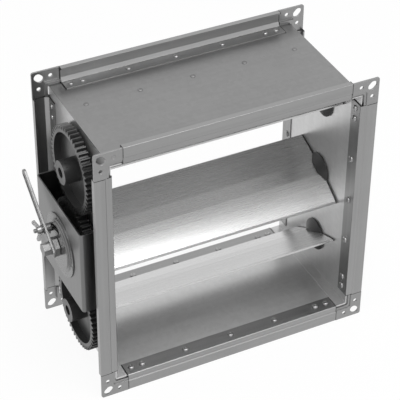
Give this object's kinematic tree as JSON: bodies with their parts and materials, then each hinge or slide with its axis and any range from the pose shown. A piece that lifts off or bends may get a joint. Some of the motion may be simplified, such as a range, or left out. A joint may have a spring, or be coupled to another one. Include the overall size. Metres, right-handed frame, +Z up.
{
  "type": "volume control damper",
  "caption": "Square flanged duct damper with opposed airfoil blades geared together outside the casing and a hand lever locked on a quadrant by a wing nut.",
  "frame": {"origin": "centre of the front flange face, on the duct axis", "axes": "+X across the duct, away from the hand lever; +Y with the air from the front flange to the rear one; +Z up, the blades' pivots lie along X"},
  "size_m": [0.374, 0.172, 0.34],
  "materials": {
    "galvanised_sheet": "bright galvanised sheet, lightly rolled grain",
    "profile_steel": "satin galvanised rolled profile",
    "corner_steel": "zinc plated pressed plate",
    "bracket_steel": "galvanised folded sheet with rolled grain",
    "blade_aluminium": "extruded mill finish",
    "gear_plastic": "moulded black nylon",
    "black_plastic": "moulded black plastic",
    "rivet_steel": "plain zinc plated rivets",
    "lever_steel": "zinc plated pressed steel",
    "shaft_steel": "turned zinc plated steel",
    "zinc_fastener": "bright zinc plating"
  },
  "bodies": {
    "casing": {"blade_stop": "galvanised_sheet", "bottom_left_bush": "black_plastic", "bottom_panel": "galvanised_sheet", "bottom_right_bush": "black_plastic", "bracket_rivets": "rivet_steel", "front_corner_bottom_left": "corner_steel", "front_corner_bottom_right": "corner_steel", "front_corner_top_left": "corner_steel", "front_corner_top_right": "corner_steel", "front_flange_bottom": "profile_steel", "front_flange_left": "profile_steel", "front_flange_right": "profile_steel", "front_flange_top": "profile_steel", "handle_bracket": "bracket_steel", "left_panel": "galvanised_sheet", "middle_left_bush": "black_plastic", "middle_right_bush": "black_plastic", "quadrant_plate": "bracket_steel", "rear_corner_bottom_left": "corner_steel", "rear_corner_bottom_right": "corner_steel", "rear_corner_top_left": "corner_steel", "rear_corner_top_right": "corner_steel", "rear_flange_bottom": "profile_steel", "rear_flange_left": "profile_steel", "rear_flange_right": "profile_steel", "rear_flange_top": "profile_steel", "right_panel": "galvanised_sheet", "spindle_bush": "black_plastic", "stop_rivets": "rivet_steel", "top_left_bush": "black_plastic", "top_panel": "galvanised_sheet", "top_right_bush": "black_plastic"},
    "top_leaf": {"top_blade": "blade_aluminium", "top_gear": "gear_plastic", "top_left_cap": "black_plastic", "top_left_shaft": "shaft_steel", "top_right_cap": "black_plastic", "top_right_shaft": "shaft_steel"},
    "middle_leaf": {"clamp_spacer": "zinc_fastener", "clamp_stud": "zinc_fastener", "clamp_washer": "zinc_fastener", "drive_spindle": "shaft_steel", "hand_lever": "lever_steel", "lever_block": "lever_steel", "lever_bolt": "zinc_fastener", "lever_washer": "zinc_fastener", "middle_blade": "blade_aluminium", "middle_gear": "gear_plastic", "middle_left_cap": "black_plastic", "middle_right_cap": "black_plastic", "middle_right_shaft": "shaft_steel"},
    "bottom_leaf": {"bottom_blade": "blade_aluminium", "bottom_gear": "gear_plastic", "bottom_left_cap": "black_plastic", "bottom_left_shaft": "shaft_steel", "bottom_right_cap": "black_plastic", "bottom_right_shaft": "shaft_steel"},
    "clamp_nut": {"wing_nut": "zinc_fastener"}
  },
  "joints": [
    {"name": "middle_pivot", "type": "hinge", "parent": "casing", "child": "middle_leaf", "pos_m": [0, 0.08, 0], "axis": [1, 0, 0], "range_deg": [-26, 64]},
    {"name": "top_pivot", "type": "hinge", "parent": "casing", "child": "top_leaf", "pos_m": [0, 0.08, 0.098], "axis": [1, 0, 0], "range_deg": [-64, 26]},
    {"name": "bottom_pivot", "type": "hinge", "parent": "casing", "child": "bottom_leaf", "pos_m": [0, 0.08, -0.098], "axis": [1, 0, 0], "range_deg": [-64, 26]},
    {"name": "wing_nut_turn", "type": "hinge", "parent": "middle_leaf", "child": "clamp_nut", "pos_m": [-0.194, 0.09837, 0.01384], "axis": [1, 0, 0], "continuous": true}
  ],
  "couplings": [
    {"joint": "top_pivot", "follows": "middle_pivot", "ratio": -1},
    {"joint": "bottom_pivot", "follows": "middle_pivot", "ratio": -1}
  ]
}
